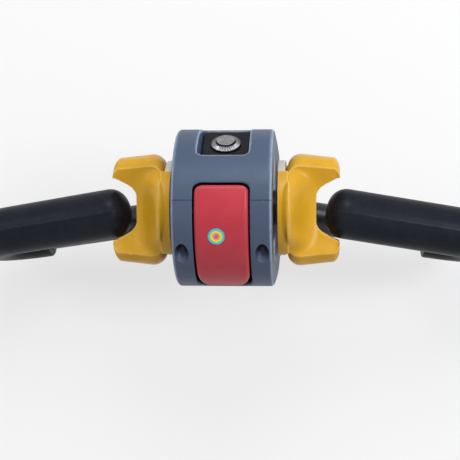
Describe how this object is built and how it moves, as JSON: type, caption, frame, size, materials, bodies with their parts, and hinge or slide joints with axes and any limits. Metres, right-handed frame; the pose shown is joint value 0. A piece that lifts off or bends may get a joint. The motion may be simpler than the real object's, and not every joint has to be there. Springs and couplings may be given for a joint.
{
  "type": "tiller control head",
  "caption": "Control head of a powered pallet truck tiller: drum housing, wrap-around belly button, thumb butterflies, push button and looped hand grips.",
  "frame": {"origin": "centre of the flange face that bolts to the tiller arm", "axes": "+Z along the arm's axis away from the truck, through the drum; +X along the throttle shaft to the right-hand grip; +Y towards the upper cover and its push button"},
  "size_m": [0.4166, 0.1158, 0.1913],
  "materials": {
    "upper_grey": "fine-grained",
    "lower_grey": "fine-grained",
    "belly_red": "satin",
    "throttle_yellow": "satin",
    "disc_white": "moulded",
    "grip_black": "satin",
    "bar_black": "semi-gloss",
    "panel_black": "gloss",
    "black_plastic": "moulded",
    "black_rubber": "matt",
    "chrome": "polished",
    "screw_steel": "zinc plated",
    "spring_steel": "bright",
    "bush_brown": "moulded",
    "cast_alloy": "cast",
    "circuit_board": "lacquered"
  },
  "bodies": {
    "root": {"neck": "cast_alloy", "chassis": "black_plastic", "sensor_board": "circuit_board", "upper_cover": "upper_grey", "lower_cover": "lower_grey", "right_front_cover_screw": "screw_steel", "left_front_cover_screw": "screw_steel", "right_rear_cover_screw": "screw_steel", "left_rear_cover_screw": "screw_steel", "control_panel": "panel_black", "push_button_body": "chrome", "push_button_seal": "black_rubber", "push_button_nut": "screw_steel", "belly_button_pin": "spring_steel", "belly_button_spring": "spring_steel", "belly_switch": "black_plastic", "right_shaft_bush": "bush_brown", "left_shaft_bush": "bush_brown", "throttle_return_spring": "spring_steel", "right_loop_bar": "bar_black", "left_loop_bar": "bar_black", "right_loop_bar_pin": "spring_steel", "left_loop_bar_pin": "spring_steel", "right_grip": "grip_black", "left_grip": "grip_black"},
    "throttle": {"throttle_shaft": "spring_steel", "throttle_cam": "black_plastic", "right_butterfly": "throttle_yellow", "left_butterfly": "throttle_yellow", "right_throttle_disc": "disc_white", "left_throttle_disc": "disc_white", "right_butterfly_screw": "screw_steel", "left_butterfly_screw": "screw_steel"},
    "belly": {"belly_button": "belly_red"},
    "push_cap": {"push_button_cap": "chrome"}
  },
  "joints": [
    {"name": "throttle_turn", "type": "hinge", "parent": "root", "child": "throttle", "pos_m": [0, 0, 0.132], "axis": [1, 0, 0], "range_deg": [-25, 25], "stiffness_Nm_per_rad": 0.6},
    {"name": "belly_press", "type": "hinge", "parent": "root", "child": "belly", "pos_m": [0, 0.00512, 0.18073], "axis": [1, 0, 0], "range_deg": [0, 4.5], "stiffness_Nm_per_rad": 4, "springref_deg": -2.86, "deforming": ["belly_button_spring"]},
    {"name": "push_button_press", "type": "slide", "parent": "root", "child": "push_cap", "axis": [0, -0.766, -0.6428], "range_m": [0, 0.0015], "stiffness_N_per_m": 900, "springref_m": -0.002}
  ]
}
